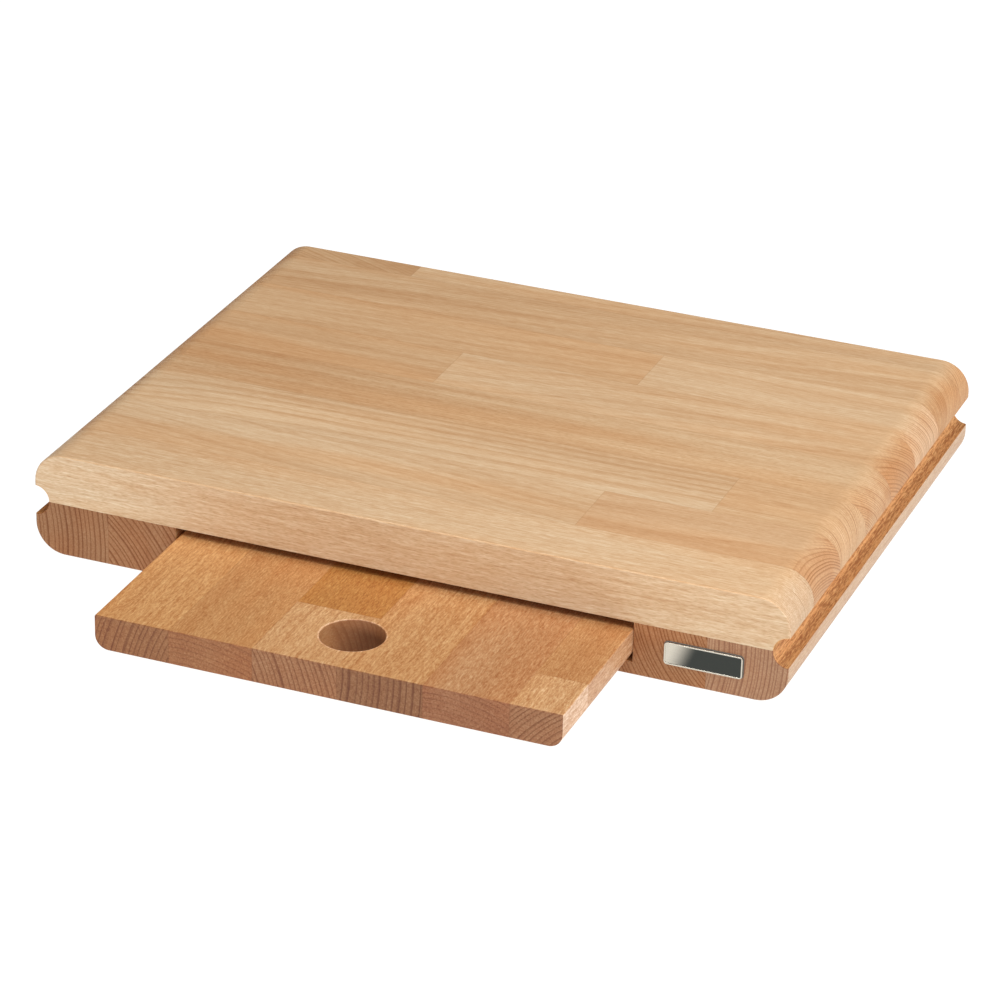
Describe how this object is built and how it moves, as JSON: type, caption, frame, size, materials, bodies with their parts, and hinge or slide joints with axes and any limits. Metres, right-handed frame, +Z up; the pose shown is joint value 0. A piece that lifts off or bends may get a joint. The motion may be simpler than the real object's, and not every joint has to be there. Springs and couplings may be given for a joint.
{
  "type": "cutting board with pull-out board",
  "caption": "Thick wooden cutting board on two runners, with finger grooves along its short ends and a small flat board that slides out from under it.",
  "frame": {"origin": "On the surface that the board stands on, under the middle of its whole footprint at rest, the pulled-out small board included.", "axes": "+X along the cutting board to the right as seen from the front, +Y from front to back, +Z up."},
  "size_m": [0.45, 0.445, 0.062],
  "materials": {
    "slab_beech": "pale oiled beech, satin, fine pores along the length",
    "runner_beech": "oiled beech, pinkish brown end grain at the front and back",
    "small_board_beech": "oiled beech, a little more orange than the slab",
    "dowel_beech": "bare turned beech",
    "plate_metal": "polished, with a dark field fading in along it and a bright raised rim",
    "adhesive": "thin dark foam pad that shows as an edge round the plate"
  },
  "bodies": {
    "chopping_board": {"top_stave_1": "slab_beech", "top_stave_2_left": "slab_beech", "top_stave_2_right": "slab_beech", "top_stave_3_left": "slab_beech", "top_stave_3_right": "slab_beech", "top_stave_4": "slab_beech", "top_stave_5_left": "slab_beech", "top_stave_5_right": "slab_beech", "top_stave_6_left": "slab_beech", "top_stave_6_right": "slab_beech", "top_stave_7": "slab_beech", "top_stave_8_left": "slab_beech", "top_stave_8_right": "slab_beech", "left_runner_inner_strip": "runner_beech", "left_runner_outer_strip": "runner_beech", "right_runner_inner_strip": "runner_beech", "right_runner_outer_strip": "runner_beech", "stop_rail": "runner_beech", "dowels": "dowel_beech", "plate_pad": "adhesive", "plate": "plate_metal"},
    "small_board": {"small_board_stave_a": "small_board_beech", "small_board_stave_b": "small_board_beech", "small_board_stave_c_front": "small_board_beech", "small_board_stave_c_rear": "small_board_beech", "small_board_stave_d": "small_board_beech", "small_board_stave_e": "small_board_beech", "small_board_stave_f_front": "small_board_beech", "small_board_stave_f_rear": "small_board_beech"}
  },
  "joints": [
    {"name": "small_board_slide", "type": "slide", "parent": "chopping_board", "child": "small_board", "axis": [0, -1, 0], "range_m": [-0.105, 0.2165]}
  ]
}
